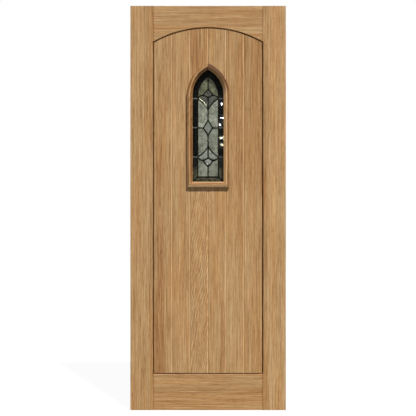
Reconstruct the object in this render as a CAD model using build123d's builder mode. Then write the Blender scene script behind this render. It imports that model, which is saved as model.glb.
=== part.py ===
from build123d import *
import os
from functools import partial
from math import acos, atan, degrees, sqrt

# Hardwood exterior door leaf: stiles and rails round a panel of V-jointed boards, with a pointed
# glazed light whose leaded glass is sealed between two clear panes.
# Millimetres. X runs across the leaf, Z is up, and the outside face looks along -Y.
# The origin is on the bottom edge, in the middle of the width and of the thickness.

# Leaf
leaf_width = 762.0
leaf_height = 1981.0
leaf_thickness = 44.0
leaf_arris = 1.0
overrun = 5.0

# Stiles and rails
stile_width = 112.0
bottom_rail_height = 177.0
top_rail_height = 106.0
panel_arch_rise = 71.0
sight_arris = 2.5
arris_angle = 45.0
tenon_thickness = 14.0
tenon_length = 70.0
tenon_gap = 22.0
tenon_inner_margin = 20.0
tenon_outer_margin = 40.0
mortice_clearance = 0.2

# Panel of boards
board_count = 6
board_recess = 1.0
shadow_gap = 5.0
edge_tongue_thickness = 22.0
edge_tongue_length = 10.0
edge_groove_clearance = 0.3
board_tongue_thickness = 9.0
board_tongue_length = 8.0
board_tongue_clearance = 0.2
board_joint_gap = 0.3
v_joint_width = 4.0
v_joint_depth = 1.6

# Pointed light, measured at the sight line of its beads: it stands in the two middle boards, and its
# arch radius is a share of its width
sight_inset = 12.0
sight_apex_drop = 206.0
straight_height = 425.0
sight_radius_share = 0.928

# Sealed unit and its bedding
unit_thickness = 28.0
pane_thickness = 4.0
edge_cover = 14.0
opening_clearance = 2.5
spacer_setback = 5.0
spacer_width = 6.0
tape_thickness = 1.5
tape_margin = 1.0
setting_block_width = 26.0
setting_block_spread = 90.0

# Beads that hold the unit
bead_width = 27.0
bead_height = 13.0
bead_sight_height = 0.5
bead_crest_start = 12.5
bead_crest_width = 5.0
bead_edge_height = 11.0
bead_fit = 0.6
arch_bead_run = 150.0

# Lead cames
came_height = 7.0
came_face_width = 6.0
came_flange = 1.2
came_heart = 1.6
glass_clearance = 0.3

# Leaded pattern: its border as a share of the light's half width, its middle and reach as shares of
# the straight height, and its knots as shares of the pattern's half width and reach, measured from
# the middle of the diamond
border_share = 0.329
pattern_middle_share = 0.627
pattern_reach_share = 0.444
knot_shares = {
    "kite_apex": (0, 1),
    "kite_side": (0.267, 0.936),
    "kite_corner": (0.44, 0.851),
    "kite_foot": (0, 0.79),
    "wing_top": (0.77, 0.831),
    "wing_tip": (1, 0.764),
    "wing_foot": (0.459, 0.646),
    "wing_point": (0, 0.485),
    "diamond_top": (0, 0.194),
    "diamond_side": (0.45, 0),
    "border_middle": (1, 0),
}
bevel_rise = 1.4
bevel_width = 4.0

# Places and sizes that follow from those above
leaf_half_width = leaf_width / 2
leaf_face = leaf_thickness / 2
frame_inner = leaf_half_width - stile_width
panel_crown = leaf_height - top_rail_height
panel_arch_radius = (frame_inner**2 + panel_arch_rise**2) / (2 * panel_arch_rise)
panel_arch_centre = panel_crown - panel_arch_radius
top_rail_end_bottom = panel_crown - panel_arch_rise
board_thickness = leaf_thickness - 2 * board_recess
board_face = board_thickness / 2
board_pitch = 2 * (frame_inner - shadow_gap) / board_count
edge_groove_depth = edge_tongue_length + edge_groove_clearance
edge_groove_width = edge_tongue_thickness + 2 * edge_groove_clearance
sight_half_width = board_pitch - sight_inset
sight_arch_radius = sight_radius_share * 2 * sight_half_width
sight_arch_offset = sight_arch_radius - sight_half_width
sight_arch_rise = sqrt(sight_arch_radius**2 - sight_arch_offset**2)
spring_height = panel_crown - sight_apex_drop - sight_arch_rise
sight_bottom = spring_height - straight_height
opening_margin = edge_cover + opening_clearance
unit_face = unit_thickness / 2
pane_back = unit_face - pane_thickness
spacer_outer = spacer_setback + spacer_width
bead_leg = board_face - unit_face - tape_thickness
bead_leg_width = opening_margin - bead_fit
came_face = came_height / 2
channel_half = came_face - came_flange
glass_half = channel_half - glass_clearance
border_width = border_share * sight_half_width
pattern_half_width = sight_half_width - border_width
pattern_bottom = sight_bottom + border_width
pattern_middle = sight_bottom + pattern_middle_share * straight_height
pattern_reach = pattern_reach_share * straight_height
rim_margin = spacer_outer - came_heart / 2
rim_half_width = sight_half_width + rim_margin
rim_bottom = sight_bottom - rim_margin
bevel_angle = degrees(atan(bevel_width / bevel_rise))

# Sketch plane seen from outdoors, and the turns used below in degrees
elevation = Plane.XZ
quarter_turn = 90.0
half_turn = 180.0

os.makedirs("parts", exist_ok=True)


def hand_over(piece, name):
    """Label a finished piece and write it to its own file."""
    piece.part.label = name
    export_step(piece.part, f"parts/{name}.step")


def panel_outline(margin):
    """The arched panel as it shows inside stiles and rails, grown by margin on every side."""
    half = frame_inner + margin
    bottom = bottom_rail_height - margin
    radius = panel_arch_radius + margin
    shoulder = panel_arch_centre + sqrt(radius**2 - half**2)
    with BuildLine() as outline:
        Polyline((half, shoulder), (half, bottom), (-half, bottom), (-half, shoulder))
        ThreePointArc((half, shoulder), (0, panel_arch_centre + radius), (-half, shoulder))
    make_face(outline.edges())


def arch_apex(margin):
    """Height of the pointed arch's apex, with the light grown by margin."""
    return spring_height + sqrt((sight_arch_radius + margin) ** 2 - sight_arch_offset**2)


def pointed_outline(margin, mode=Mode.ADD):
    """The light at its sight line, grown by margin on every side."""
    half = sight_half_width + margin
    bottom = sight_bottom - margin
    radius = sight_arch_radius + margin
    turn = degrees(acos(sight_arch_offset / radius))
    with BuildLine() as outline:
        CenterArc((-sight_arch_offset, spring_height), radius, 0, turn)
        CenterArc((sight_arch_offset, spring_height), radius, half_turn - turn, turn)
        Polyline((half, spring_height), (half, bottom), (-half, bottom), (-half, spring_height))
    make_face(outline.edges(), mode=mode)


def pointed_band(outer, inner):
    """A strip that follows the light between two margins."""
    pointed_outline(outer)
    pointed_outline(inner, mode=Mode.SUBTRACT)


# Helper solids: the hole that the panel takes in the frame, the panel itself and the light's hole
arris_plane = elevation.offset(leaf_face - sight_arris)
with BuildPart() as sight_chamfer:
    with BuildSketch(arris_plane):
        panel_outline(0)
    extrude(amount=sight_arris)
    arris_sides = sight_chamfer.faces().filter_by(Axis.Y, reverse=True)
    draft(arris_sides, neutral_plane=arris_plane, angle=-arris_angle)

with BuildPart() as panel_hole:
    with BuildSketch(elevation):
        panel_outline(0)
    extrude(amount=leaf_face + overrun, both=True)
    with BuildSketch(elevation):
        panel_outline(edge_groove_depth)
    extrude(amount=edge_groove_width / 2, both=True)
    add(sight_chamfer.part)
    mirror(sight_chamfer.part, about=Plane.XZ)

with BuildPart() as panel_envelope:
    with BuildSketch(elevation):
        panel_outline(-shadow_gap)
    extrude(amount=board_face, both=True)
    with BuildSketch(elevation):
        panel_outline(edge_tongue_length)
    extrude(amount=edge_tongue_thickness / 2, both=True)

with BuildPart() as light_hole:
    with BuildSketch(elevation):
        pointed_outline(opening_margin)
    extrude(amount=leaf_face + overrun, both=True)


# Stiles and rails, with twin tenons in blind mortices
def tenon_spans(low, high):
    """Bottom and top of the two tenons that share the height from low to high."""
    each = (high - low - tenon_gap) / 2
    return [(low, low + each), (high - each, high)]


bottom_tenons = tenon_spans(tenon_outer_margin, bottom_rail_height - tenon_inner_margin)
top_tenons = tenon_spans(top_rail_end_bottom + tenon_inner_margin, leaf_height - tenon_outer_margin)


def tenon_blocks(spans, clearance, mode):
    """Tenons, or their mortices with clearance all round, at both ends of a rail."""
    for low, high in spans:
        for side in (-1, 1):
            with Locations((side * (frame_inner + tenon_length / 2), 0, (low + high) / 2)):
                Box(
                    tenon_length + 2 * clearance,
                    tenon_thickness + 2 * clearance,
                    high - low + 2 * clearance,
                    mode=mode,
                )


with BuildPart() as hinge_stile:
    with BuildSketch():
        with Locations((-leaf_half_width + stile_width / 2, 0)):
            Rectangle(stile_width, leaf_thickness)
    extrude(amount=leaf_height)
    chamfer(hinge_stile.faces().sort_by(Axis.X)[0].edges(), length=leaf_arris)
    add(panel_hole.part, mode=Mode.SUBTRACT)
    tenon_blocks(bottom_tenons + top_tenons, mortice_clearance, Mode.SUBTRACT)
hand_over(hinge_stile, "hinge_stile")

with BuildPart() as lock_stile:
    mirror(hinge_stile.part, about=Plane.YZ)
hand_over(lock_stile, "lock_stile")

with BuildPart() as top_rail:
    with BuildSketch(elevation):
        with Locations((0, (top_rail_end_bottom + leaf_height) / 2)):
            Rectangle(2 * frame_inner, leaf_height - top_rail_end_bottom)
    extrude(amount=leaf_face, both=True)
    chamfer(top_rail.faces().sort_by(Axis.Z)[-1].edges().filter_by(Axis.X), length=leaf_arris)
    add(panel_hole.part, mode=Mode.SUBTRACT)
    tenon_blocks(top_tenons, 0, Mode.ADD)
hand_over(top_rail, "top_rail")

with BuildPart() as bottom_rail:
    with BuildSketch(elevation):
        with Locations((0, bottom_rail_height / 2)):
            Rectangle(2 * frame_inner, bottom_rail_height)
    extrude(amount=leaf_face, both=True)
    chamfer(bottom_rail.faces().sort_by(Axis.Z)[0].edges().filter_by(Axis.X), length=leaf_arris)
    add(panel_hole.part, mode=Mode.SUBTRACT)
    tenon_blocks(bottom_tenons, 0, Mode.ADD)
hand_over(bottom_rail, "bottom_rail")


# Boards: tongued and grooved with a V on both faces, tongues pointing to the middle of the panel
def joint_edge(x, side, joint):
    """Points of a board's edge at x, from the outside face to the inside one."""
    if joint == "plain":
        return [(x, -board_face), (x, board_face)]
    reach = board_tongue_length
    half = board_tongue_thickness / 2
    if joint == "groove":
        reach = -board_tongue_length - board_tongue_clearance
        half = board_tongue_thickness / 2 + board_tongue_clearance
    shoulder = x - side * board_joint_gap / 2
    outer = [
        (shoulder - side * v_joint_width, board_face),
        (shoulder, board_face - v_joint_depth),
        (shoulder, half),
        (shoulder + side * reach, half),
    ]
    return [(across, -deep) for across, deep in outer] + outer[::-1]


def edge_joint(index):
    """Place and kind of joint on the right of the board before it and the left of the one after."""
    x = (index - board_count / 2) * board_pitch
    if index == 0:
        return -leaf_half_width, "plain", "plain"
    if index == board_count:
        return leaf_half_width, "plain", "plain"
    if x > 0:
        return x, "groove", "tongue"
    return x, "tongue", "groove"


def board(index):
    """One board of the panel, cut to the arch, the frame's grooves and the light."""
    left_x, _, left_joint = edge_joint(index)
    right_x, right_joint, _ = edge_joint(index + 1)
    outline = joint_edge(right_x, 1, right_joint) + joint_edge(left_x, -1, left_joint)[::-1]
    with BuildPart() as plank:
        with BuildSketch():
            with BuildLine():
                Polyline(*outline, close=True)
            make_face()
        extrude(amount=leaf_height)
        add(panel_envelope.part, mode=Mode.INTERSECT)
        add(light_hole.part, mode=Mode.SUBTRACT)
    return plank


for index in range(board_count):
    plank = board(index)
    lengths = plank.solids().sort_by(Axis.Z)
    if len(lengths) == 1:
        hand_over(plank, f"board_{index + 1}")
        continue
    for place, length in zip(("lower", "upper"), lengths):
        with BuildPart() as short_board:
            add(length)
        hand_over(short_board, f"board_{index + 1}_{place}")


# Beads: a rebated and splayed moulding, mitred at the sill and the apex. Each arch bead runs on straight
# below the spring line and is butted against the bead under it.
def bead_section():
    """Moulding in its own axes: outward from the sight line, then out of the board's face."""
    with BuildLine() as outline:
        Polyline(
            (bead_width, bead_edge_height),
            (bead_width, 0),
            (bead_leg_width, 0),
            (bead_leg_width, -bead_leg),
            (0, -bead_leg),
            (0, bead_sight_height),
            (bead_crest_start, bead_height),
            (bead_crest_start + bead_crest_width, bead_height),
            close=True,
        )
    make_face(outline.edges())


left_spring = (-sight_half_width, -board_face, spring_height)
jamb_section = Plane(origin=left_spring, x_dir=(-1, 0, 0), z_dir=(0, 0, 1))
sill_section = Plane(origin=(0, -board_face, sight_bottom), x_dir=(0, 0, -1), z_dir=(-1, 0, 0))
left_mitre = Plane(origin=(-sight_half_width, 0, sight_bottom), x_dir=(0, 1, 0), z_dir=(-1, 0, 1))
right_mitre = Plane(origin=(sight_half_width, 0, sight_bottom), x_dir=(0, 1, 0), z_dir=(1, 0, 1))

with BuildPart() as sill_bead:
    with BuildSketch(sill_section):
        bead_section()
    extrude(amount=sight_half_width + bead_width + overrun, both=True)
    split(bisect_by=left_mitre, keep=Keep.BOTTOM)
    split(bisect_by=right_mitre, keep=Keep.BOTTOM)

with BuildPart() as left_bead:
    with BuildSketch(jamb_section.offset(-arch_bead_run)):
        bead_section()
    extrude(amount=arch_bead_run - straight_height - bead_width - overrun)
    split(bisect_by=left_mitre, keep=Keep.TOP)

with BuildPart() as left_arch_bead:
    with BuildSketch(jamb_section) as spring_section:
        bead_section()
    arch_axis = Axis((sight_arch_offset, 0, spring_height), (0, 1, 0))
    extrude(spring_section.sketch, amount=-arch_bead_run)
    revolve(spring_section.sketch, axis=arch_axis, revolution_arc=quarter_turn)
    split(bisect_by=Plane.YZ, keep=Keep.BOTTOM)

with BuildPart() as right_bead:
    mirror(left_bead.part, about=Plane.YZ)

with BuildPart() as right_arch_bead:
    mirror(left_arch_bead.part, about=Plane.YZ)

bead_lengths = {
    "bead_sill": sill_bead,
    "bead_left": left_bead,
    "bead_right": right_bead,
    "bead_arch_left": left_arch_bead,
    "bead_arch_right": right_arch_bead,
}
for name, bead in bead_lengths.items():
    hand_over(bead, f"outer_{name}")
    with BuildPart() as inner_bead:
        mirror(bead.part, about=Plane.XZ)
    hand_over(inner_bead, f"inner_{name}")


# Sealed unit: clear pane, spacer, leaded light, spacer, clear pane, with a seal round the edge
def strip(outer, inner, near, far):
    """A strip round the light between two margins, from depth near to depth far of the leaf."""
    with BuildPart() as piece:
        with BuildSketch(elevation.offset(near)):
            pointed_band(outer, inner)
        extrude(amount=far - near)
    return piece


with BuildPart() as outer_pane:
    with BuildSketch(elevation.offset(pane_back)):
        pointed_outline(edge_cover)
    extrude(amount=pane_thickness)
hand_over(outer_pane, "outer_pane")

with BuildPart() as inner_pane:
    mirror(outer_pane.part, about=Plane.XZ)
hand_over(inner_pane, "inner_pane")

tape_outer = edge_cover - tape_margin
tape_face = unit_face + tape_thickness
hand_over(strip(spacer_outer, spacer_setback, came_face, pane_back), "outer_spacer")
hand_over(strip(spacer_outer, spacer_setback, -pane_back, -came_face), "inner_spacer")
hand_over(strip(edge_cover, spacer_outer, -pane_back, pane_back), "edge_seal")
hand_over(strip(tape_outer, tape_margin, unit_face, tape_face), "outer_glazing_tape")
hand_over(strip(tape_outer, tape_margin, -tape_face, -unit_face), "inner_glazing_tape")

with BuildPart() as setting_blocks:
    block_height = sight_bottom - edge_cover - opening_clearance / 2
    for side in (-1, 1):
        with Locations((side * setting_block_spread / 2, 0, block_height)):
            Box(setting_block_width, unit_thickness, opening_clearance)
hand_over(setting_blocks, "setting_blocks")


# Leaded light: every pane is drawn along the middle lines of the cames round it
def knots(side, level):
    """Knots of the pattern, with side left or right and level below or above the diamond."""
    return {
        name: (side * across * pattern_half_width, pattern_middle + level * along * pattern_reach)
        for name, (across, along) in knot_shares.items()
    }


def pick(knot, *names):
    """The named knots in order."""
    return [knot[name] for name in names]


def kite(level):
    """Bevel at the end of the pattern."""
    right = pick(knots(1, level), "kite_apex", "kite_side", "kite_corner", "kite_foot")
    left = pick(knots(-1, level), "kite_corner", "kite_side")
    return right + left


def wing(side, level):
    """Bevel that spreads from the middle came to the border."""
    knot = knots(side, level)
    return pick(knot, "kite_corner", "wing_top", "wing_tip", "wing_foot", "wing_point", "kite_foot")


def diamond():
    """Bevel at the middle of the pattern."""
    above = pick(knots(1, 1), "diamond_top", "diamond_side")
    below = pick(knots(-1, -1), "diamond_top", "diamond_side")
    return above + below


def beside_diamond(side, level):
    """Textured pane between the diamond, a wing and the border."""
    knot = knots(side, level)
    along_wing = pick(knot, "wing_point", "wing_foot", "wing_tip")
    return along_wing + pick(knot, "border_middle", "diamond_side", "diamond_top")


def past_kite(side, level, end_height):
    """Textured pane between a kite, a wing and the end of the pattern."""
    knot = knots(side, level)
    along_wing = pick(knot, "kite_apex", "kite_side", "kite_corner", "wing_top", "wing_tip")
    return along_wing + [(side * pattern_half_width, end_height), (0, end_height)]


def side_border(side, level):
    """Border pane beside a wing and the diamond."""
    middle, tip = pick(knots(side, level), "border_middle", "wing_tip")
    return [middle, tip, (side * rim_half_width, tip[1]), (side * rim_half_width, middle[1])]


def foot_border(side):
    """Border pane beside the foot of the pattern, mitred at the corner."""
    tip = knots(side, -1)["wing_tip"]
    foot = (side * pattern_half_width, pattern_bottom)
    return [foot, tip, (side * rim_half_width, tip[1]), (side * rim_half_width, rim_bottom)]


def bottom_border():
    """Border pane along the bottom, mitred at both corners."""
    return [
        (-pattern_half_width, pattern_bottom),
        (pattern_half_width, pattern_bottom),
        (rim_half_width, rim_bottom),
        (-rim_half_width, rim_bottom),
    ]


def straight_pane(corners, setback):
    """The pane inside a closed run of corners, set back from the cames all round."""
    with BuildSketch() as pane:
        with BuildLine():
            Polyline(*corners, close=True)
        make_face()
        offset(amount=-setback, kind=Kind.INTERSECTION)
    return pane.sketch


def arched_pane(corners, setback):
    """A pane whose top follows the border's arch, set back from the cames all round."""
    with BuildSketch() as pane:
        add(straight_pane(corners, setback))
        pointed_outline(-border_width - setback, mode=Mode.INTERSECT)
    return pane.sketch


def arch_border(side, setback):
    """Border pane round half of the arch, set back from the cames all round."""
    low = knots(side, 1)["wing_tip"][1] + setback
    high = arch_apex(rim_margin)
    reach = rim_half_width - setback
    with BuildSketch() as pane:
        pointed_outline(rim_margin - setback)
        pointed_outline(setback - border_width, mode=Mode.SUBTRACT)
        with Locations((side * (setback + reach / 2), (low + high) / 2)):
            Rectangle(reach, high - low, mode=Mode.INTERSECT)
    return pane.sketch


pattern_apex = arch_apex(-border_width)
bevel_panes = {"diamond_bevel": partial(straight_pane, diamond())}
flat_panes = {"border_glass_bottom": partial(straight_pane, bottom_border())}
for height, level in (("lower", -1), ("upper", 1)):
    bevel_panes[f"kite_bevel_{height}"] = partial(straight_pane, kite(level))
    for hand, side in (("left", -1), ("right", 1)):
        bevel_panes[f"wing_bevel_{height}_{hand}"] = partial(straight_pane, wing(side, level))
        beside = beside_diamond(side, level)
        flat_panes[f"textured_glass_{height}_{hand}"] = partial(straight_pane, beside)
        flat_panes[f"border_glass_{height}_{hand}"] = partial(straight_pane, side_border(side, level))
for hand, side in (("left", -1), ("right", 1)):
    top, bottom = past_kite(side, 1, pattern_apex), past_kite(side, -1, pattern_bottom)
    flat_panes[f"textured_glass_top_{hand}"] = partial(arched_pane, top)
    flat_panes[f"textured_glass_bottom_{hand}"] = partial(straight_pane, bottom)
    flat_panes[f"border_glass_arch_{hand}"] = partial(arch_border, side)
    flat_panes[f"border_glass_foot_{hand}"] = partial(straight_pane, foot_border(side))


def came_network(width):
    """All the cames at one width, as what is left of the light round its panes."""
    pointed_outline(spacer_outer)
    for pane in (bevel_panes | flat_panes).values():
        add(pane(width / 2), mode=Mode.SUBTRACT)


with BuildPart() as came_lattice:
    with BuildSketch(elevation.offset(channel_half), elevation.offset(-came_face)):
        came_network(came_face_width)
    extrude(amount=came_flange)
    with BuildSketch(elevation):
        came_network(came_heart)
    extrude(amount=channel_half, both=True)
hand_over(came_lattice, "came_lattice")

glass_setback = came_heart / 2 + glass_clearance
for name, pane in flat_panes.items():
    with BuildPart() as glass:
        with BuildSketch(elevation):
            add(pane(glass_setback))
        extrude(amount=glass_half, both=True)
    hand_over(glass, name)

bevel_setback = came_face_width / 2 + glass_clearance
bevel_plane = elevation.offset(glass_half)
for name, pane in bevel_panes.items():
    with BuildPart() as glass:
        with BuildSketch(bevel_plane):
            add(pane(bevel_setback))
        extrude(amount=bevel_rise)
        bevel_sides = glass.faces().filter_by(Axis.Y, reverse=True)
        draft(bevel_sides, neutral_plane=bevel_plane, angle=bevel_angle)
        with BuildSketch(elevation):
            add(pane(glass_setback))
        extrude(amount=glass_half, both=True)
    hand_over(glass, name)
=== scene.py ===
from math import acos, cos, pi, radians, sin, sqrt

import bmesh
import bpy
from mathutils import Matrix, Vector


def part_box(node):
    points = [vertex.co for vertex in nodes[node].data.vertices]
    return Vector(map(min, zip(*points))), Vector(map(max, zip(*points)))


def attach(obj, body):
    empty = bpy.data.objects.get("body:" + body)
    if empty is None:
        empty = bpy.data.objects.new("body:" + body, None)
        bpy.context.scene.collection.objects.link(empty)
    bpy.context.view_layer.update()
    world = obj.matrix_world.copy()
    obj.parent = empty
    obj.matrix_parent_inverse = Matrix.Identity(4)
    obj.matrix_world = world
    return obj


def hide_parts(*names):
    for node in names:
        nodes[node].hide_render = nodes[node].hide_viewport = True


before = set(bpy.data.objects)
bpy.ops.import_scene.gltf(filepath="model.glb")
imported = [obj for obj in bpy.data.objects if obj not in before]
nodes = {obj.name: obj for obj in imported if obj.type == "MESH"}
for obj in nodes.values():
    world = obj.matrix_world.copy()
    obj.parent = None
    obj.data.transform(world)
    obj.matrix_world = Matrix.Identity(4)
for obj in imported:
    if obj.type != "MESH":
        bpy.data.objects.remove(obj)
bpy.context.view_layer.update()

# Oak door leaf with a pointed leaded light. Metres, in the frame of the CAD model: X runs across
# the leaf, Z is up, and the outside face looks along -Y.
scene = bpy.context.scene
scene.view_settings.view_transform = "Standard"

# Places read from the frame
leaf_low, leaf_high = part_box("hinge_stile")
leaf_height = leaf_high.z
leaf_face = leaf_low.y
board_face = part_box("board_1")[0].y
sill_low, sill_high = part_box("outer_bead_sill")
bead_width = sill_high.z - sill_low.z
bead_height = board_face - sill_low.y
bead_leg = sill_high.y - board_face
sight_half_width = sill_high.x - bead_width
sight_bottom = sill_high.z
arch_joint, arch_top = (corner.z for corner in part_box("outer_bead_arch_left"))
came_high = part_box("came_lattice")[1]
came_face = came_high.y

# The pointed arch of the light: its radius is a share of the light's width
sight_radius_share = 0.928
sight_radius = sight_radius_share * 2 * sight_half_width
arch_offset = sight_radius - sight_half_width
spring_height = arch_top - sqrt((sight_radius + bead_width) ** 2 - arch_offset**2)
straight_height = spring_height - sight_bottom

# Bead moulding: a leg in the opening, a splay from the sight line up to a flat crest, and a
# shoulder that slopes from the crest to the outer edge. The arch runs past the apex before it is
# mitred there.
bead_leg_width = 0.0159
bead_sight_height = 0.0005
bead_crest_start = 0.0125
bead_crest_end = 0.0175
bead_edge_height = 0.011
bead_arris = 0.0011
bead_arris_steps = 4
bead_arch_steps = 36
apex_overrun = radians(2)
sight_edge_share = 0.45

# Lead cames: the channel and the edge of the domed faces are measured from the middle of the glass,
# and a bend is mitred up to a limit
came_width = 0.006
came_heart = 0.0016
came_channel = 0.0023
came_edge = 0.0028
came_dome_steps = 9
came_arch_steps = 24
came_bend_steps = 8
came_mitre_limit = 0.4
solder_reach = 0.0052
solder_rise = 0.0006
solder_segments = 20
solder_rings = 10

# Leaded pattern, with its knots as shares of the pattern's half width and reach
border_share = 0.329
pattern_middle_share = 0.627
pattern_reach_share = 0.444
border_width = border_share * sight_half_width
pattern_half_width = sight_half_width - border_width
pattern_bottom = sight_bottom + border_width
pattern_middle = sight_bottom + pattern_middle_share * straight_height
pattern_reach = pattern_reach_share * straight_height
rim_margin = came_high.x - sight_half_width - came_heart / 2
knot_shares = {
    "kite_apex": (0, 1),
    "kite_side": (0.267, 0.936),
    "kite_corner": (0.44, 0.851),
    "kite_foot": (0, 0.79),
    "wing_top": (0.77, 0.831),
    "wing_tip": (1, 0.764),
    "wing_foot": (0.459, 0.646),
    "wing_point": (0, 0.485),
    "diamond_top": (0, 0.194),
    "diamond_side": (0.45, 0),
    "border_middle": (1, 0),
}

left, right = -1, 1
outside, inside = -1, 1
below, above = -1, 1
tinned = 1
crease_angle = radians(32)
merge_distance = 1e-6


def finish_piece(name, bm, slot, *replaced):
    """Turn a bmesh into a piece that stands for CAD nodes, with its rounded faces shaded soft."""
    bmesh.ops.recalc_face_normals(bm, faces=bm.faces)
    mesh = bpy.data.meshes.new(name)
    bm.to_mesh(mesh)
    bm.free()
    for face in mesh.polygons:
        face.use_smooth = True
    mesh.set_sharp_from_angle(angle=crease_angle)
    piece = bpy.data.objects.new(name, mesh)
    scene.collection.objects.link(piece)
    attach(piece, "root")
    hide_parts(*replaced)
    return piece


def station(point, across, out, along):
    """Frame of a section: its own axes, then the place of its origin."""
    frame_axes = Matrix.Identity(4)
    for column, axis in enumerate((across, out, along, point)):
        for row in range(3):
            frame_axes[row][column] = axis[row]
    return frame_axes


def sweep(bm, section, stations, marks=()):
    """Draw a closed section at the first station and pull it through the others.

    Each mark names a part of the section, and the piece carries its share of it along the length.
    """
    layers = {name: bm.verts.layers.float.new(name) for name in dict(marks)}
    ring = [bm.verts.new(stations[0] @ Vector((across, out, 0))) for across, out in section]
    for name, share_of in dict(marks).items():
        for point, vert in zip(section, ring):
            vert[layers[name]] = share_of(*point)
    edges = [bm.edges.new((start, end)) for start, end in zip(ring, ring[1:] + ring[:1])]
    for before, after in zip(stations, stations[1:]):
        pulled = bmesh.ops.extrude_edge_only(bm, edges=edges)["geom"]
        moved = {vert for vert in pulled if isinstance(vert, bmesh.types.BMVert)}
        bmesh.ops.transform(bm, matrix=after @ before.inverted(), verts=list(moved))
        edges = [
            edge
            for edge in pulled
            if isinstance(edge, bmesh.types.BMEdge) and set(edge.verts) <= moved
        ]


def close_ends(bm):
    """Fill every open end."""
    bmesh.ops.holes_fill(bm, edges=[edge for edge in bm.edges if edge.is_boundary])


def curved(start, middle, end, steps):
    """Points of a smooth curve from start to end through middle."""
    pull = 2 * middle - (start + end) / 2
    points = []
    for step in range(steps + 1):
        share = step / steps
        rest = 1 - share
        points.append(start * rest**2 + pull * 2 * share * rest + end * share**2)
    return points


# Beads


def rounded_corner(before, corner, after):
    """Points that soften a corner of the moulding, from one of its sides to the other."""
    start = corner + (before - corner).normalized() * bead_arris
    end = corner + (after - corner).normalized() * bead_arris
    return curved(start, (start + 2 * corner + end) / 4, end, bead_arris_steps)


def bead_section():
    """Moulding in its own axes: outward from the sight line, then out of the board's face."""
    foot = Vector((0, bead_sight_height))
    crest_start = Vector((bead_crest_start, bead_height))
    crest_end = Vector((bead_crest_end, bead_height))
    edge = Vector((bead_width, bead_edge_height))
    back = Vector((bead_width, 0))
    return [
        Vector((bead_leg_width, 0)),
        Vector((bead_leg_width, -bead_leg)),
        Vector((0, -bead_leg)),
        foot,
        foot.lerp(crest_start, sight_edge_share),
        *rounded_corner(foot, crest_start, crest_end),
        *rounded_corner(crest_start, crest_end, edge),
        *rounded_corner(crest_end, edge, back),
        back,
    ]


def on_shoulder(across, out):
    return across > bead_crest_end - bead_arris / 2


def on_crest(across, out):
    return across > bead_crest_start - bead_arris / 2 and not on_shoulder(across, out) and out > 0


def on_sight_edge(across, out):
    return across == 0


bead_marks = {"shoulder": on_shoulder, "crest": on_crest, "sight_edge": on_sight_edge}


def bead_station(x, z, across, side, along=(0, 0, 1)):
    """Section of a bead at a point of the sight line, on the outside or the inside of the door."""
    return station((x, -side * board_face, z), across, (0, side, 0), along)


def sill_stations(side):
    """The sill's two mitred ends."""
    return [
        bead_station(hand * sight_half_width, sight_bottom, (hand, 0, -1), side, (1, 0, 0))
        for hand in (left, right)
    ]


def jamb_stations(hand, side):
    """From the mitre at the sill up to the square joint with the arch."""
    edge = hand * sight_half_width
    return [
        bead_station(edge, sight_bottom, (hand, 0, -1), side),
        bead_station(edge, arch_joint, (hand, 0, 0), side),
    ]


def arch_stations(hand, side):
    """From the square joint round the arch and a little past the apex."""
    stations = [bead_station(hand * sight_half_width, arch_joint, (hand, 0, 0), side)]
    full_turn = acos(arch_offset / (sight_radius + bead_width)) + apex_overrun
    for step in range(bead_arch_steps + 1):
        turn = full_turn * step / bead_arch_steps
        x = hand * (sight_radius * cos(turn) - arch_offset)
        z = spring_height + sight_radius * sin(turn)
        across = (hand * cos(turn), 0, sin(turn))
        along = (-hand * sin(turn), 0, cos(turn))
        stations.append(bead_station(x, z, across, side, along))
    return stations


def mitre_at_apex(bm, hand):
    """Cut away what runs past the middle of the light."""
    everything = bm.verts[:] + bm.edges[:] + bm.faces[:]
    bmesh.ops.bisect_plane(
        bm,
        geom=everything,
        dist=merge_distance,
        plane_co=(0, 0, 0),
        plane_no=(hand, 0, 0),
        clear_inner=True,
    )


def bead(name, stations, apex_hand=None):
    """One bead, which stands for the CAD bead of that name."""
    bm = bmesh.new()
    sweep(bm, bead_section(), stations, bead_marks)
    if apex_hand:
        mitre_at_apex(bm, apex_hand)
    close_ends(bm)
    return finish_piece(name + "_piece", bm, "oak_bead", name)


beads = {}
for face_name, side in (("outer", outside), ("inner", inside)):
    sill = f"{face_name}_bead_sill"
    beads[sill] = bead(sill, sill_stations(side))
    for hand_name, hand in (("left", left), ("right", right)):
        jamb, arch = f"{face_name}_bead_{hand_name}", f"{face_name}_bead_arch_{hand_name}"
        beads[jamb] = bead(jamb, jamb_stations(hand, side))
        beads[arch] = bead(arch, arch_stations(hand, side), apex_hand=hand)


# Lead cames


def came_section():
    """Lead strip with a heart between two domed faces: across the strip, then through the light."""
    turns = [radians(180 / came_dome_steps * step) for step in range(came_dome_steps + 1)]
    dome = came_face - came_edge
    outer_face = [(came_width / 2 * cos(turn), came_edge + dome * sin(turn)) for turn in turns]
    upper = [
        (came_heart / 2, came_channel),
        (came_width / 2, came_channel),
        *outer_face,
        (-came_width / 2, came_channel),
        (-came_heart / 2, came_channel),
    ]
    return upper + [(-across, -through) for across, through in upper]


def knot(name, hand, level):
    """Place of a knot in the light, on the left or the right, below or above the diamond."""
    across, along = knot_shares[name]
    x = hand * across * pattern_half_width
    z = pattern_middle + level * along * pattern_reach
    return Vector((x, z))


def arch_half(margin, hand):
    """Half of the pointed arch from the spring line to the apex, with the light grown by margin."""
    radius = sight_radius + margin
    full_turn = acos(arch_offset / radius)
    turns = [full_turn * step / came_arch_steps for step in range(came_arch_steps + 1)]
    return [
        Vector((hand * (radius * cos(turn) - arch_offset), spring_height + radius * sin(turn)))
        for turn in turns
    ]


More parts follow.
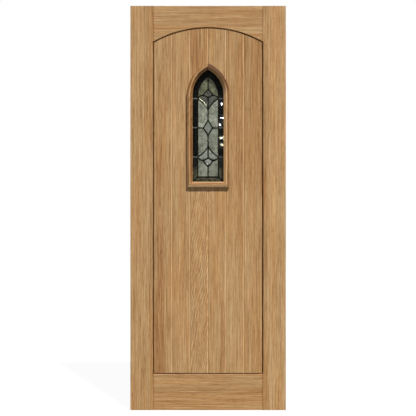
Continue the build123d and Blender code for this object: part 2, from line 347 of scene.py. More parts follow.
def light_outline(margin):
    """The light's outline from the left of its foot round over the apex, with no point twice."""
    half, foot = sight_half_width + margin, sight_bottom - margin
    over_left = arch_half(margin, left)
    over_right = arch_half(margin, right)[:-1][::-1]
    return [Vector((-half, foot)), *over_left, *over_right, Vector((half, foot))]


def came(bm, path, closed=False, finish=0):
    """One lead strip along a path in the face of the light, mitred at its bends."""
    count = len(path)
    older = len(bm.faces)
    through = (0, 1, 0)
    stations = []
    for index, point in enumerate(path):
        before = path[index - 1] if closed or index else None
        after = path[(index + 1) % count] if closed or index < count - 1 else None
        arriving = (point - before).normalized() if before else (after - point).normalized()
        leaving = (after - point).normalized() if after else arriving
        along = (arriving + leaving).normalized()
        across = Vector((along.y, -along.x)) / max(along.dot(arriving), came_mitre_limit)
        place, sideways, onward = ((flat.x, 0, flat.y) for flat in (point, across, along))
        stations.append(station(place, sideways, through, onward))
    if closed:
        stations.append(stations[0])
    sweep(bm, came_section(), stations)
    bm.faces.ensure_lookup_table()
    for face in bm.faces[older:]:
        face.material_index = finish


def solder(bm, point):
    """Low rounded solder joint on both faces of the light."""
    for side in (outside, inside):
        shape = Matrix.Diagonal((solder_reach, solder_rise, solder_reach, 1))
        place = Matrix.Translation((point.x, side * (came_face - solder_rise), point.y))
        bmesh.ops.create_uvsphere(
            bm,
            u_segments=solder_segments,
            v_segments=solder_rings,
            radius=1,
            matrix=place @ shape,
        )


def lead_cames():
    """All the strips of the light and its rim, soldered together as one piece."""
    bm = bmesh.new()
    joints = []
    came(bm, light_outline(-border_width), closed=True)
    came(bm, light_outline(rim_margin), closed=True)
    pattern_apex, rim_apex = arch_half(-border_width, left)[-1], arch_half(rim_margin, left)[-1]
    foot = Vector((0, pattern_bottom))
    came(bm, [pattern_apex, rim_apex])
    came(bm, [knot("kite_apex", right, above), pattern_apex])
    came(bm, [foot, knot("kite_apex", right, below)])
    joints += [pattern_apex, foot]
    for level in (below, above):
        for start, end in (("kite_foot", "wing_point"), ("wing_point", "diamond_top")):
            came(bm, [knot(start, right, level), knot(end, right, level)])
        on_middle = ("kite_apex", "kite_foot", "wing_point", "diamond_top")
        joints += [knot(name, right, level) for name in on_middle]
        for hand in (left, right):
            at = {name: knot(name, hand, level) for name in knot_shares}
            rim = hand * (sight_half_width + rim_margin)
            for start, middle, end in (
                ("kite_apex", "kite_side", "kite_corner"),
                ("kite_corner", "wing_top", "wing_tip"),
                ("wing_tip", "wing_foot", "wing_point"),
            ):
                came(bm, curved(at[start], at[middle], at[end], came_bend_steps))
            came(bm, [at["kite_foot"], at["kite_corner"]])
            came(bm, [at["diamond_top"], at["diamond_side"]])
            came(bm, [at["wing_tip"], Vector((rim, at["wing_tip"].y))], finish=tinned)
            joints += [at["kite_corner"], at["wing_tip"]]
    for hand in (left, right):
        rim = hand * (sight_half_width + rim_margin)
        side_knot, middle = knot("diamond_side", hand, above), knot("border_middle", hand, above)
        corner = Vector((hand * pattern_half_width, pattern_bottom))
        came(bm, [side_knot, middle])
        came(bm, [middle, Vector((rim, middle.y))], finish=tinned)
        came(bm, [corner, Vector((rim, sight_bottom - rim_margin))])
        joints += [side_knot, middle, corner]
    bmesh.ops.remove_doubles(bm, verts=bm.verts, dist=merge_distance)
    close_ends(bm)
    for joint in joints:
        solder(bm, joint)
    return finish_piece("lead_cames", bm, "lead_came", "came_lattice")


leads = lead_cames()


# Materials

# Oak: the log's bends a metre and how far they reach, the radius where heartwood ends and sapwood
# starts, the shade of plain wood, and how far each part of the grain moves it
log_bends = (9, 9, 2.2)
log_wander = (0.02, 0.02, 0.0)
heart_end = 0.024
sapwood_start = 0.031
plain_shade = 0.51
band_swing = 0.35
streak_swing = 1.3
fine_swing = 1.0
ring_swing = 0.5
pore_depth = 0.3
fleck_light = 0.12
heart_depth = 0.2
heart_tint = (1, 0.9, 0.82, 1)
heart_tint_share = 0.8
warm_wood = (1, 0.915, 0.8, 1)
fine_relief = 0.6
oak_relief = {"Strength": 0.25, "Distance": 0.0004}
oak_gloss = 0.2

# Joinery: painted shade in the groove round the panel and the depth that it starts at, the dark
# line along the shoulders of the rails, how far the stiles darken from their inner edge, the
# heights between which a board's tone shifts, and the painted light and shade on the arrises
groove_painted_shade = (0.42, 0.36, 0.3, 1)
board_groove_depth = 0.0185
shoulder_line = 0.006
shoulder_depth = 0.3
stile_inner_edge = abs(leaf_high.x)
stile_darkening = 0.04
board_shift = {"Upper low": 0.97, "Upper high": 1.12}
# Tones of the arrises that face left and right: painted light and shade that stands in for light
# from one side
arris_turn = 0.3
stile_painted_arris = {"Left arris": 0.0, "Right arris": -0.3}
rail_painted_arris = {"Left arris": -0.4, "Right arris": -0.4}
board_painted_arris = {"Left arris": 0.02, "Right arris": 0.27}


def put(tree, kind, inputs=(), **settings):
    """Add a node, set its own settings, and set or link its inputs."""
    made = tree.nodes.new(kind)
    for name, value in settings.items():
        setattr(made, name, value)
    for name, value in dict(inputs).items():
        if isinstance(value, bpy.types.NodeSocket):
            tree.links.new(value, made.inputs[name])
        else:
            made.inputs[name].default_value = value
    return made


def calc(tree, operation, first, second=0.0):
    """One sum on two values."""
    return put(tree, "ShaderNodeMath", {0: first, 1: second}, operation=operation).outputs[0]


def spread(tree, value, low, high, to_low=0.0, to_high=1.0):
    """Map a value between low and high to another range, held at its ends."""
    ends = {"From Min": low, "From Max": high, "To Min": to_low, "To Max": to_high}
    return put(tree, "ShaderNodeMapRange", {"Value": value, **ends}).outputs["Result"]


def blend(tree, share, first, second, kind="MIX"):
    """Mix two colours."""
    inputs = {0: share, 6: first, 7: second}
    return put(tree, "ShaderNodeMix", inputs, data_type="RGBA", blend_type=kind).outputs[2]


def vector_sum(tree, operation, first, second):
    """One sum on two vectors."""
    return put(tree, "ShaderNodeVectorMath", {0: first, 1: second}, operation=operation).outputs[0]


def stretched_noise(tree, place, across, along, detail=2.0, roughness=0.5):
    """Noise with that many features a metre across the grain and along it."""
    scaled = put(tree, "ShaderNodeMapping", {"Vector": place, "Scale": (across, across, along)})
    inputs = {"Vector": scaled.outputs[0], "Scale": 1.0, "Detail": detail, "Roughness": roughness}
    return put(tree, "ShaderNodeTexNoise", inputs).outputs["Fac"]


def linear_share(value):
    """One channel of a screen colour, in 0 to 255, as scene-linear."""
    share = value / 255
    return share / 12.92 if share <= 0.04045 else ((share + 0.055) / 1.055) ** 2.4


def srgb(red, green, blue):
    """A colour as it shows on screen, as scene-linear."""
    return (linear_share(red), linear_share(green), linear_share(blue), 1)


def sockets(group, **kinds):
    """Give a group its sockets: inputs as (kind, value), and outputs as a kind alone."""
    for name, kind in kinds.items():
        title = name.replace("_", " ")
        if isinstance(kind, tuple):
            made = group.interface.new_socket(name=title, in_out="INPUT", socket_type=kind[0])
            if kind[1] is not None:
                made.default_value = kind[1]
        else:
            group.interface.new_socket(name=title, in_out="OUTPUT", socket_type=kind)


def oak_grain():
    """Oak cut from a round log: rings about the Z axis of Place, streaks, pores and heartwood."""
    group = bpy.data.node_groups.new("oak_grain", "ShaderNodeTree")
    number, vector, colour = "NodeSocketFloat", "NodeSocketVector", "NodeSocketColor"
    sockets(
        group,
        Place=(vector, None),
        Tone=(number, 0.0),
        Streaks=(number, 1.0),
        Bands=(number, 1.0),
        Figure=(number, 0.3),
        Rings=(number, 70.0),
        Heart=(number, 0.0),
        Groove=(number, 0.0),
        Colour=colour,
        Roughness=number,
        Height=number,
    )
    given = group.nodes.new("NodeGroupInput").outputs
    place = given["Place"]
    broad = stretched_noise(group, place, across=22, along=0.7)
    streak = stretched_noise(group, place, across=150, along=3, detail=4.0, roughness=0.62)
    fine = stretched_noise(group, place, across=430, along=10, detail=3.0)
    pore_noise = stretched_noise(group, place, across=700, along=30, detail=1.0)
    pores = spread(group, pore_noise, low=0.56, high=0.7)
    fleck_noise = stretched_noise(group, place, across=160, along=42)
    flecks = spread(group, fleck_noise, low=0.6, high=0.75)

    # Rings of the log, which wanders a little from its own axis
    slow = put(group, "ShaderNodeMapping", {"Vector": place, "Scale": log_bends}).outputs[0]
    wander = put(group, "ShaderNodeTexNoise", {"Vector": slow, "Scale": 1.0}).outputs["Color"]
    offset = vector_sum(group, "SUBTRACT", wander, (0.5, 0.5, 0.5))
    wobble = vector_sum(group, "MULTIPLY", offset, log_wander)
    bent = vector_sum(group, "ADD", place, wobble)
    rings = put(
        group,
        "ShaderNodeTexWave",
        {"Vector": bent, "Scale": given["Rings"]},
        wave_type="RINGS",
        rings_direction="Z",
        wave_profile="SAW",
    ).outputs["Fac"]
    figure_noise = stretched_noise(group, place, across=14, along=4)
    figured = spread(group, figure_noise, low=0.38, high=0.6, to_low=0.25)
    figure = calc(group, "MULTIPLY", given["Figure"], figured)
    section = vector_sum(group, "MULTIPLY", bent, (1, 1, 0))
    radius = put(group, "ShaderNodeVectorMath", {0: section}, operation="LENGTH").outputs["Value"]
    in_heart = spread(group, radius, heart_end, sapwood_start, to_low=1.0, to_high=0.0)
    heart = calc(group, "MULTIPLY", in_heart, given["Heart"])

    def swing(value, amount):
        return calc(group, "MULTIPLY", calc(group, "SUBTRACT", value, 0.5), amount)

    bands = calc(group, "MULTIPLY", swing(broad, band_swing), given["Bands"])
    streaks = calc(group, "MULTIPLY", swing(streak, streak_swing), given["Streaks"])
    figure_lines = calc(group, "MULTIPLY", swing(rings, ring_swing), figure)
    shade = calc(group, "ADD", given["Tone"], plain_shade)
    for added in (bands, streaks, swing(fine, fine_swing), figure_lines):
        shade = calc(group, "ADD", shade, added)
    shade = calc(group, "SUBTRACT", shade, calc(group, "MULTIPLY", pores, pore_depth))
    shade = calc(group, "ADD", shade, calc(group, "MULTIPLY", flecks, fleck_light))
    shade = calc(group, "SUBTRACT", shade, calc(group, "MULTIPLY", heart, heart_depth))

    # The palest stops serve the painted light on the right-hand beads
    darkest, palest = -0.4, 1.6
    ramp = put(group, "ShaderNodeValToRGB", {0: spread(group, shade, darkest, palest)})
    stops = ramp.color_ramp.elements
    stops[0].color, stops[1].color = srgb(92, 60, 32), srgb(240, 182, 112)
    between = {
        0.0: srgb(132, 92, 53),
        0.27: srgb(162, 121, 78),
        0.5: srgb(181, 142, 96),
        0.75: srgb(198, 161, 115),
        1.0: srgb(214, 178, 132),
        1.2: srgb(226, 193, 149),
    }
    for at_shade, stop_colour in between.items():
        stops.new((at_shade - darkest) / (palest - darkest)).color = stop_colour
    heart_share = calc(group, "MULTIPLY", heart, heart_tint_share)
    reddened = blend(group, heart_share, ramp.outputs[0], heart_tint, "MULTIPLY")
    warm_noise = stretched_noise(group, place, across=30, along=1.7, detail=3.0)
    warmth = spread(group, warm_noise, low=0.42, high=0.62)
    warmed = blend(group, warmth, reddened, warm_wood, "MULTIPLY")
    # Painted shade: the groove round the panel is darkened, standing in for the shade inside it
    groove_shaded = blend(group, given["Groove"], warmed, groove_painted_shade, "MULTIPLY")
    roughness = spread(group, streak, low=0.3, high=0.7, to_low=0.62, to_high=0.48)
    height = calc(group, "SUBTRACT", calc(group, "MULTIPLY", fine, fine_relief), pores)
    given_out = group.nodes.new("NodeGroupOutput").inputs
    group.links.new(groove_shaded, given_out["Colour"])
    group.links.new(roughness, given_out["Roughness"])
    group.links.new(height, given_out["Height"])
    return group


def joinery_and_painted_shade():
    """What the making of a piece adds to its tone, and where shade is painted into its grooves.

    Arrises get painted light or shade by the side that they face, the shoulders and the inner
    edges of the frame are darker, and Upper shifts the tone between two heights, which paints
    shade towards the apex of the right arch bead.
    """
    group = bpy.data.node_groups.new("joinery_and_painted_shade", "ShaderNodeTree")
    number, vector = "NodeSocketFloat", "NodeSocketVector"
    sockets(
        group,
        Place=(vector, None),
        Normal=(vector, None),
        Groove_depth=(number, 0.0),
        Shoulder=(number, 0.0),
        Inner_edge=(number, 0.0),
        Upper=(number, 0.0),
        Upper_low=(number, 0.0),
        Upper_high=(number, 1.0),
        Left_arris=(number, 0.0),
        Right_arris=(number, 0.0),
        Tone=number,
        Groove=number,
    )
    given = group.nodes.new("NodeGroupInput").outputs
    facing = put(group, "ShaderNodeSeparateXYZ", {0: given["Normal"]}).outputs
    place = put(group, "ShaderNodeSeparateXYZ", {0: given["Place"]}).outputs

    # An arris looks neither straight out of the face nor straight to the side
    square = calc(group, "ABSOLUTE", facing["Y"])
    off_face = spread(group, square, low=0.995, high=0.97)
    off_side = spread(group, square, low=0.3, high=0.6)
    arris = calc(group, "MULTIPLY", off_face, off_side)
    # Painted light and shade: each arris gets a tone by whether it faces left or right
    painted_arris_tones = given["Left arris"], given["Right arris"]
    painted_arris = spread(group, facing["X"], -arris_turn, arris_turn, *painted_arris_tones)

    from_middle = calc(group, "ABSOLUTE", place["X"])
    line_start, line_end = stile_inner_edge - shoulder_line, stile_inner_edge - shoulder_line / 2
    shoulder = spread(group, from_middle, line_start, line_end)
    edge_end = stile_inner_edge + stile_darkening
    edge = spread(group, from_middle, stile_inner_edge, edge_end, to_low=1.0, to_high=0.0)
    upper = spread(group, place["Z"], given["Upper low"], given["Upper high"])
    tone = calc(group, "MULTIPLY", arris, painted_arris)
    tone = calc(group, "SUBTRACT", tone, calc(group, "MULTIPLY", shoulder, given["Shoulder"]))
    tone = calc(group, "SUBTRACT", tone, calc(group, "MULTIPLY", edge, given["Inner edge"]))
    tone = calc(group, "ADD", tone, calc(group, "MULTIPLY", upper, given["Upper"]))
    depth = calc(group, "ABSOLUTE", place["Y"])
    given_out = group.nodes.new("NodeGroupOutput").inputs
    group.links.new(tone, given_out["Tone"])
    group.links.new(calc(group, "LESS_THAN", depth, given["Groove depth"]), given_out["Groove"])
    return group


oak = oak_grain()
# The joinery group carries painted light and shade on arrises and in the groove, as well as joinery
# tones
joinery = joinery_and_painted_shade()


def new_material(name):
    """A material with its node tree and its shader."""
    made = bpy.data.materials.new(name)
    made.use_nodes = True
    return made, made.node_tree, made.node_tree.nodes["Principled BSDF"]


def oak_material(name, log_place, log_turn, tone, edges=(), painted_part_tones=(), **amounts):
    """Oak with the log's middle at log_place of the piece's frame, after turning it by log_turn.

    Painted part tones give the painted light and shade that each marked part of a bead adds, and
    edges and amounts are inputs of the joinery and of the grain.
    """
    made, tree, shader = new_material(name)
    coordinates = put(tree, "ShaderNodeTexCoord").outputs["Object"]
    turn = [radians(angle) for angle in log_turn]
    mapping = {"Vector": coordinates, "Location": log_place, "Rotation": turn}
    turned = put(tree, "ShaderNodeMapping", mapping).outputs[0]
    normal = put(tree, "ShaderNodeNewGeometry").outputs["True Normal"]
    given_edges = {"Place": coordinates, "Normal": normal, **dict(edges)}
    made_edges = put(tree, "ShaderNodeGroup", given_edges, node_tree=joinery).outputs
    full_tone = calc(tree, "ADD", made_edges["Tone"], tone)
    # Painted light and shade on the marked parts of a bead
    for mark, added in dict(painted_part_tones).items():
        share = put(tree, "ShaderNodeAttribute", attribute_name=mark).outputs["Fac"]
        full_tone = calc(tree, "ADD", full_tone, calc(tree, "MULTIPLY", share, added))
    wood = {"Place": turned, "Tone": full_tone, "Groove": made_edges["Groove"], **amounts}
    grain = put(tree, "ShaderNodeGroup", wood, node_tree=oak).outputs
    bump = put(tree, "ShaderNodeBump", {"Height": grain["Height"], **oak_relief}).outputs[0]
    tree.links.new(grain["Colour"], shader.inputs["Base Color"])
    tree.links.new(grain["Roughness"], shader.inputs["Roughness"])
    tree.links.new(bump, shader.inputs["Normal"])
    shader.inputs["Specular IOR Level"].default_value = oak_gloss
    return made


upright = (0, 0, 0)
lying = (0, 90, 0)


def dress(node, finish):
    """Give a CAD node one finish."""
    node.data.materials.clear()
    node.data.materials.append(finish)


def dress_stile(name, log_place, log_turn, tone, inner_edge):
    """Stile, darker towards its inner edge."""
    edges = {"Inner edge": inner_edge, **stile_painted_arris}
    dress(nodes[name], oak_material("oak_" + name, log_place, log_turn, tone, edges))


def dress_rail(name, log_place, tone, **amounts):
    """Rail, with the line of its shoulders."""
    edges = {"Shoulder": shoulder_depth, **rail_painted_arris}
    dress(nodes[name], oak_material("oak_" + name, log_place, lying, tone, edges, **amounts))


def dress_board(name, log_place, log_turn, tone, upper=0.0, **amounts):
    """Board, with painted shade in the groove round the panel and painted light on its V joints."""
    edges = {"Groove depth": board_groove_depth, "Upper": upper, **board_shift, **board_painted_arris}
    dress(nodes[name], oak_material("oak_" + name, log_place, log_turn, tone, edges, **amounts))


dress_stile("hinge_stile", (0.9, -0.09, 1.3), upright, tone=0.05, inner_edge=0.15)
dress_stile("lock_stile", (-0.81, 0.11, 4.1), (1, 0, 0), tone=0.15, inner_edge=0.25)
dress_rail("top_rail", (2.3, 0.12, 7.7), tone=0.03)
dress_rail("bottom_rail", (0.4, 0.13, 10.3), tone=0.06, Bands=1.6)
dress_board("board_1", (0.236, 0.03, 13.9), (-0.9, 0, 0), tone=0.0, Figure=0.5, Heart=1.0)
dress_board("board_2", (0.33, 0.05, 17.2), (0.5, 0, 0), tone=0.06)
dress_board("board_3_lower", (0.14, -0.33, 20.4), (-4, 0, 0), tone=0.05, Figure=1.1, Rings=87.0)
dress_board(
    "board_3_upper", (0.045, 0.027, 23.1), (0.6, 0.4, 0), tone=-0.06, Streaks=1.5, Heart=0.25
)
dress_board("board_4_lower", (-0.21, 0.06, 26.5), (0.8, 0, 0), tone=0.03)
dress_board("board_4_upper", (-0.19, 0.04, 29.8), (0.4, 0, 0), tone=0.05)
dress_board("board_5", (-0.33, -0.06, 33.3), (-0.6, 0, 0), tone=0.08, upper=-0.1)
dress_board("board_6", (-0.44, 0.05, 36.7), (0.7, 0, 0), tone=0.03, upper=-0.14)

# Beads: the log that each is cut from, its tone, what its parts add, and the shift at the apex.
# The tones and what the parts add are painted light and shade, paler on the right-hand beads and
# darker on the left-hand ones and the sill, and the shift at the apex is painted shade.
bead_logs = {
    "sill": ((0.4, 0.09, 45.0), lying),
    "left": ((0.5, 0.09, 41.0), upright),
    "right": ((0.55, 0.09, 43.0), upright),
    "arch_left": ((0.3, 0.1, 49.0), (0, -20, 0)),
    "arch_right": ((0.3, 0.1, 53.0), (0, 20, 0)),
}
bead_painted_tones = {"sill": -0.5, "left": -0.45, "right": 0.95, "arch_left": -0.45, "arch_right": 0.9}
bead_part_painted_light = {
    "sill": {"crest": 0.42, "shoulder": 0.65, "sight_edge": 0.85},
    "left": {"crest": 0.42, "shoulder": 0.08, "sight_edge": 0.25},
    "right": {"crest": -0.5, "shoulder": -1.4, "sight_edge": 0.1},
    "arch_left": {"crest": 0.42, "shoulder": 0.08, "sight_edge": 0.1},
    "arch_right": {"crest": -0.45, "shoulder": -1.4, "sight_edge": 0.0},
}
bead_apex_painted_shade = {"arch_right": -1.0}


def bead_finish(name, log_place, log_turn):
    """Finish of a bead with painted light and shade, darker towards the apex on the right arch."""
    edges = {
        "Upper": bead_apex_painted_shade.get(name, 0.0),
        "Upper low": spring_height,
        "Upper high": spring_height + sight_half_width,
    }
    tone, painted_part_tones = bead_painted_tones[name], bead_part_painted_light[name]
    return oak_material("oak_bead_" + name, log_place, log_turn, tone, edges, painted_part_tones)


bead_finishes = {name: bead_finish(name, *log) for name, log in bead_logs.items()}
for name, piece in beads.items():
    piece.data.materials.append(bead_finishes[name.split("_bead_")[-1]])


def mottling():
    """Uneven tone and ripple of glass, lead and rubber: a mask, a finer mask and a height."""
    group = bpy.data.node_groups.new("mottling", "ShaderNodeTree")
    number = "NodeSocketFloat"
    sockets(
        group,
        Place=("NodeSocketVector", None),
        Size=(number, 0.01),
        Clouds=number,
        Specks=number,
        Height=number,
    )
    given = group.nodes.new("NodeGroupInput").outputs
    per_metre = calc(group, "DIVIDE", 1.0, given["Size"])

    def noise(times, detail):
        scale = calc(group, "MULTIPLY", per_metre, times)
        inputs = {"Vector": given["Place"], "Scale": scale, "Detail": detail}
        return put(group, "ShaderNodeTexNoise", inputs).outputs["Fac"]

    clouds = noise(times=1.0, detail=2.0)
    specks = noise(times=4.0, detail=3.0)
    speck_relief = 0.35
    height = calc(group, "ADD", clouds, calc(group, "MULTIPLY", specks, speck_relief))
    given_out = group.nodes.new("NodeGroupOutput").inputs
    group.links.new(spread(group, clouds, low=0.32, high=0.68), given_out["Clouds"])
    group.links.new(spread(group, specks, low=0.3, high=0.7), given_out["Specks"])
    group.links.new(height, given_out["Height"])
    return group


mottled = mottling()
ripple_reach = 0.001


def mottled_material(name, dark, light, size, roughness, ripple, stretch=(1, 1, 1), specks=0.35):
    """A finish that drifts between two colours over patches of that size, and its shader.

    Roughness runs from one value to another, and specks is the share of the finer mask.
    """
    made, tree, shader = new_material(name)
    coordinates = put(tree, "ShaderNodeTexCoord").outputs["Object"]
    scaled = put(tree, "ShaderNodeMapping", {"Vector": coordinates, "Scale": stretch}).outputs[0]
    given = {"Place": scaled, "Size": size}
    pattern = put(tree, "ShaderNodeGroup", given, node_tree=mottled).outputs
    cloud_tone = calc(tree, "MULTIPLY", pattern["Clouds"], 1 - specks)
    speck_tone = calc(tree, "MULTIPLY", pattern["Specks"], specks)
    tone = calc(tree, "ADD", cloud_tone, speck_tone)
    rough = spread(tree, pattern["Specks"], 0, 1, *roughness)
    relief = {"Height": pattern["Height"], "Strength": ripple, "Distance": ripple_reach}
    tree.links.new(blend(tree, tone, dark, light), shader.inputs["Base Color"])
    tree.links.new(rough, shader.inputs["Roughness"])
    tree.links.new(put(tree, "ShaderNodeBump", relief).outputs[0], shader.inputs["Normal"])
    return made, shader


def glass_material(name, dark, light, through, gloss, **finish):
    """Glass that lets some light through, with its gloss as a share of plain glass."""
    made, shader = mottled_material(name, dark, light, **finish)
    shader.inputs["Transmission Weight"].default_value = through
    shader.inputs["Specular IOR Level"].default_value = gloss
    return made


clear, clear_shader = mottled_material(
    "clear_glass", srgb(22, 26, 24), srgb(30, 35, 32), size=0.2, roughness=(0.02, 0.05), ripple=0.02
)
clear_shader.inputs["Alpha"].default_value = 0.06
clear_shader.inputs["Specular IOR Level"].default_value = 0.05

# Obscured glass, rolled with a soft ripple and paler where more light comes through
rolled = {"roughness": (0.18, 0.4), "ripple": 0.18, "through": 0.2, "gloss": 0.3, "specks": 0.12}
obscured = glass_material(
    "obscured_glass", srgb(102, 106, 87), srgb(194, 199, 176), size=0.03, **rolled
)
obscured_low = glass_material(
    "obscured_glass_low", srgb(98, 102, 85), srgb(172, 177, 157), size=0.03, **rolled
)
obscured_top = glass_material(
    "obscured_glass_top", srgb(64, 64, 38), srgb(140, 140, 106), size=0.024, **rolled
)

# Bevelled glass, with small facets that stretch upwards
facets = {"stretch": (1.4, 1, 0.6), "specks": 0.6}
bevel = {"size": 0.009, "roughness": (0.02, 0.06), "through": 0.25, **facets}
bevelled = glass_material(
    "bevelled_glass", srgb(40, 43, 37), srgb(214, 219, 202), ripple=0.05, gloss=0.3, **bevel
)
bevelled_dark = glass_material(
    "bevelled_glass_dark", srgb(22, 23, 17), srgb(124, 127, 108), ripple=0.03, gloss=0.5, **bevel
)
diamond = glass_material(
    "diamond_glass",
    srgb(98, 105, 92),
    srgb(170, 178, 163),
    size=0.012,
    roughness=(0.1, 0.2),
    ripple=0.05,
    through=0.2,
    gloss=0.03,
    **facets,
)

# Dark glass of the border, polished on the right, with a painted reflection paler along the foot
border = {"size": 0.03, "through": 0.0, "specks": 0.12}
bordered = glass_material(
    "border_glass",
    srgb(8, 9, 6),
    srgb(24, 25, 19),
    roughness=(0.05, 0.16),
    ripple=0.05,
    gloss=0.03,
    **border,
)
polished = glass_material(
    "border_glass_polished",
    srgb(8, 9, 6),
    srgb(20, 21, 16),
    roughness=(0.02, 0.03),
    ripple=0.008,
    gloss=0.06,
    **border,
)
border_foot_painted_reflection = glass_material(
    "border_glass_foot",
    srgb(46, 44, 31),
    srgb(116, 111, 86),
    roughness=(0.08, 0.2),
    ripple=0.1,
    gloss=0.1,
    **border,
)
foot_fade_start = sight_bottom + 0.05
foot_fade_end = sight_bottom + 0.08


def darken_upwards(material, low, high, dark):
    """Fade a finish to a darker colour between two heights."""
    tree = material.node_tree
    colour_in = tree.nodes["Principled BSDF"].inputs["Base Color"]
    finish = colour_in.links[0].from_socket
    coordinates = put(tree, "ShaderNodeTexCoord").outputs["Object"]
    height = put(tree, "ShaderNodeSeparateXYZ", {0: coordinates}).outputs["Z"]
    tree.links.new(blend(tree, spread(tree, height, low, high), finish, dark), colour_in)


# Painted reflection: the foot of the border is pale at the bottom and fades to dark glass above
darken_upwards(border_foot_painted_reflection, foot_fade_start, foot_fade_end, dark=srgb(14, 15, 11))

lead_finish, lead_shader = mottled_material(
    "lead", srgb(6, 6, 4), srgb(24, 24, 20), size=0.006, roughness=(0.38, 0.6), ripple=0.3
)
tinned_finish, tinned_shader = mottled_material(
    "tinned_lead",
    srgb(58, 58, 54),
    srgb(100, 100, 94),
    size=0.006,
    roughness=(0.3, 0.5),
    ripple=0.3,
)
for shader in (lead_shader, tinned_shader):
    shader.inputs["Metallic"].default_value = 0.75
lead_shader.inputs["Specular IOR Level"].default_value = 0.1
for finish in (lead_finish, tinned_finish):
    leads.data.materials.append(finish)

spacer_finish, spacer_shader = mottled_material(
    "spacer_bar",
    srgb(92, 92, 90),
    srgb(118, 118, 116),
    size=0.008,
    roughness=(0.35, 0.5),
    ripple=0.1,
)
spacer_shader.inputs["Metallic"].default_value = 1.0
sealant, _ = mottled_material(
    "sealant", srgb(22, 22, 22), srgb(36, 36, 35), size=0.006, roughness=(0.55, 0.75), ripple=0.3
)
tape, _ = mottled_material(
    "glazing_tape", srgb(26, 26, 26), srgb(42, 42, 41), size=0.005, roughness=(0.7, 0.9), ripple=0.3
)
packer, _ = mottled_material(
    "setting_block",
    srgb(30, 46, 84),
    srgb(44, 62, 102),
    size=0.008,
    roughness=(0.4, 0.55),
    ripple=0.1,
)

# Finishes by the start of a node's name, where the longest start holds
glazing_finishes = {
    "outer_pane": clear,
    "inner_pane": clear,
    "textured_glass": obscured,
    "textured_glass_top": obscured_top,
    "textured_glass_lower": obscured_low,
    "textured_glass_bottom": obscured_low,
    "kite_bevel": bevelled,
    "kite_bevel_upper": bevelled_dark,
    "wing_bevel": bevelled,
    "wing_bevel_upper": bevelled_dark,
    "diamond_bevel": diamond,
    "border_glass": bordered,
    "border_glass_upper_right": polished,
    "border_glass_lower_right": polished,
    "border_glass_bottom": border_foot_painted_reflection,
    "border_glass_foot": border_foot_painted_reflection,
    "outer_spacer": spacer_finish,
    "inner_spacer": spacer_finish,
    "edge_seal": sealant,
    "outer_glazing_tape": tape,
    "inner_glazing_tape": tape,
    "setting_blocks": packer,
}
for name, node in nodes.items():
    starts = [start for start in glazing_finishes if name.startswith(start)]
    if starts:
        dress(node, glazing_finishes[max(starts, key=len)])


# Floor, light and camera

floor_half_size = 9.0
bounced_floor = (0.12, 0.12, 0.12, 1)
seen_floor = (0.9, 0.9, 0.9, 1)
floor_glow_share = 0.93
studio_lamp_distance = 3
image_pixels = 416
camera_across = -0.0005
camera_reach = 200


def straight_rays(tree):
    """1 for rays from the camera, off gloss or through glass, and 0 for light that bounces about."""
    seen = put(tree, "ShaderNodeLightPath").outputs
    mirrored = calc(tree, "MAXIMUM", seen["Is Glossy Ray"], seen["Is Transmission Ray"])
    return calc(tree, "MAXIMUM", seen["Is Camera Ray"], mirrored)


def make_floor():
    """Pale floor that keeps the leaf's shadow, looks white, and throws little light back up."""
    bm = bmesh.new()
    bmesh.ops.create_grid(bm, x_segments=1, y_segments=1, size=floor_half_size)
    mesh = bpy.data.meshes.new("floor")
    bm.to_mesh(mesh)
    bm.free()
    floor = bpy.data.objects.new("floor", mesh)
    scene.collection.objects.link(floor)
    made, tree, shader = new_material("pale_floor")
    straight = straight_rays(tree)
    shader.inputs["Roughness"].default_value = 0.9
    shader.inputs["Specular IOR Level"].default_value = 0.0
    tree.links.new(blend(tree, straight, bounced_floor, seen_floor), shader.inputs["Base Color"])
    glow = put(tree, "ShaderNodeEmission", {"Color": (1, 1, 1, 1), "Strength": 1.0}).outputs[0]
    share = calc(tree, "MULTIPLY", straight, floor_glow_share)
    mixed = put(tree, "ShaderNodeMixShader", {0: share, 1: shader.outputs[0], 2: glow}).outputs[0]
    tree.links.new(mixed, tree.nodes["Material Output"].inputs["Surface"])
    mesh.materials.append(made)


def make_world(fill):
    """Soft even light from all round, with white behind the leaf."""
    world = bpy.data.worlds.new("studio")
    world.use_nodes = True
    tree = world.node_tree
    strength = spread(tree, straight_rays(tree), 0, 1, fill, 1.0)
    tree.nodes["Background"].inputs["Color"].default_value = (1, 1, 1, 1)
    tree.links.new(strength, tree.nodes["Background"].inputs["Strength"])
    scene.world = world


def make_studio_lamp(name, toward, strength, softness):
    """Distant lamp, which stands in the direction toward."""
    data = bpy.data.lights.new(name, "SUN")
    data.energy = strength
    data.angle = radians(softness)
    lamp = bpy.data.objects.new(name, data)
    lamp.rotation_euler = Vector(toward).to_track_quat("Z", "Y").to_euler()
    lamp.location = Vector(toward) * studio_lamp_distance
    scene.collection.objects.link(lamp)


def make_camera(metres_a_pixel, lens):
    """Camera square to the outside face, on a square image."""
    data = bpy.data.cameras.new("camera")
    data.lens = lens
    distance = image_pixels * metres_a_pixel * lens / data.sensor_width
    camera = bpy.data.objects.new("camera", data)
    camera.location = (camera_across, leaf_face - distance, leaf_height / 2)
    camera.rotation_euler = (pi / 2, 0, 0)
    data.clip_end = camera_reach
    scene.collection.objects.link(camera)
    scene.camera = camera
    return camera


make_floor()
make_world(fill=0.19)
make_studio_lamp("key", toward=(0.58, -1.0, 1.9), strength=5.0, softness=3.0)
make_studio_lamp("back_fill", toward=(-0.5, 1.0, 0.8), strength=2.0, softness=20.0)
camera = make_camera(metres_a_pixel=0.0049, lens=60.0)

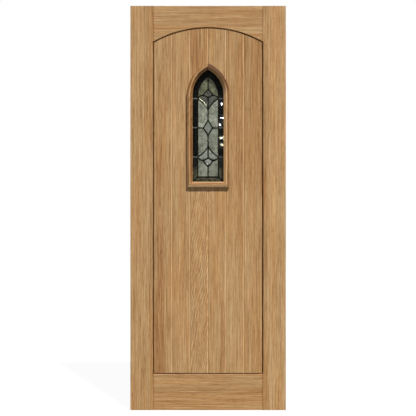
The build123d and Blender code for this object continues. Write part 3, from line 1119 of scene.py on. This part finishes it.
white, pale_yellow = (1, 1, 1), (1, 0.98, 0.68)
bevel_lamp_half = 0.14
glint_brightness = 700


def make_sparkle(name, place, aim, half_width, half_height, brightness, tint):
    """Small oval lamp that is seen only where glass mirrors it."""
    lamp = bpy.data.lights.new(name, "AREA")
    lamp.shape = "ELLIPSE"
    lamp.size = 2 * half_width
    lamp.size_y = 2 * half_height
    lamp.energy = brightness * pi * pi * half_width * half_height
    lamp.color = tint
    sparkle = bpy.data.objects.new(name, lamp)
    sparkle.location = place
    sparkle.rotation_euler = (Vector(place) - Vector(aim)).to_track_quat("Z", "Y").to_euler()
    sparkle.visible_diffuse = False
    scene.collection.objects.link(sparkle)


def bevel_sparkle(name, place, brightness, tint):
    """Sparkle on the bevelled glass, from a lamp that is aimed at the middle of the light."""
    aim = Vector((0, 0, pattern_middle))
    make_sparkle(name, place, aim, bevel_lamp_half, bevel_lamp_half, brightness, tint)


def border_glint(number, x, z, half_width, half_height, tint):
    """Glint at a point of the polished border, with its size on the glass.

    The lamp stands beside the camera, where the glass mirrors it straight forward.
    """
    mirror = Vector((x, came_face, z))
    bulb = 2 * mirror - camera.location
    bulb.y = camera.location.y
    lamp_size = 2 * half_width, 2 * half_height
    make_sparkle(f"border_glint_{number}", bulb, mirror, *lamp_size, glint_brightness, tint)


bevel_sparkle("wing_sparkle", place=(-0.72, -1.25, 1.07), brightness=31, tint=pale_yellow)
bevel_sparkle("foot_sparkle", place=(-0.78, -1.25, 0.57), brightness=14, tint=white)
border_glint(1, x=0.067, z=1.502, half_width=0.005, half_height=0.006, tint=white)
border_glint(2, x=0.069, z=1.436, half_width=0.006, half_height=0.004, tint=white)
border_glint(3, x=0.060, z=1.401, half_width=0.006, half_height=0.0055, tint=white)
border_glint(4, x=0.066, z=1.3405, half_width=0.0085, half_height=0.002, tint=pale_yellow)
border_glint(5, x=0.066, z=1.331, half_width=0.0085, half_height=0.002, tint=pale_yellow)
border_glint(6, x=0.066, z=1.3022, half_width=0.0085, half_height=0.004, tint=pale_yellow)
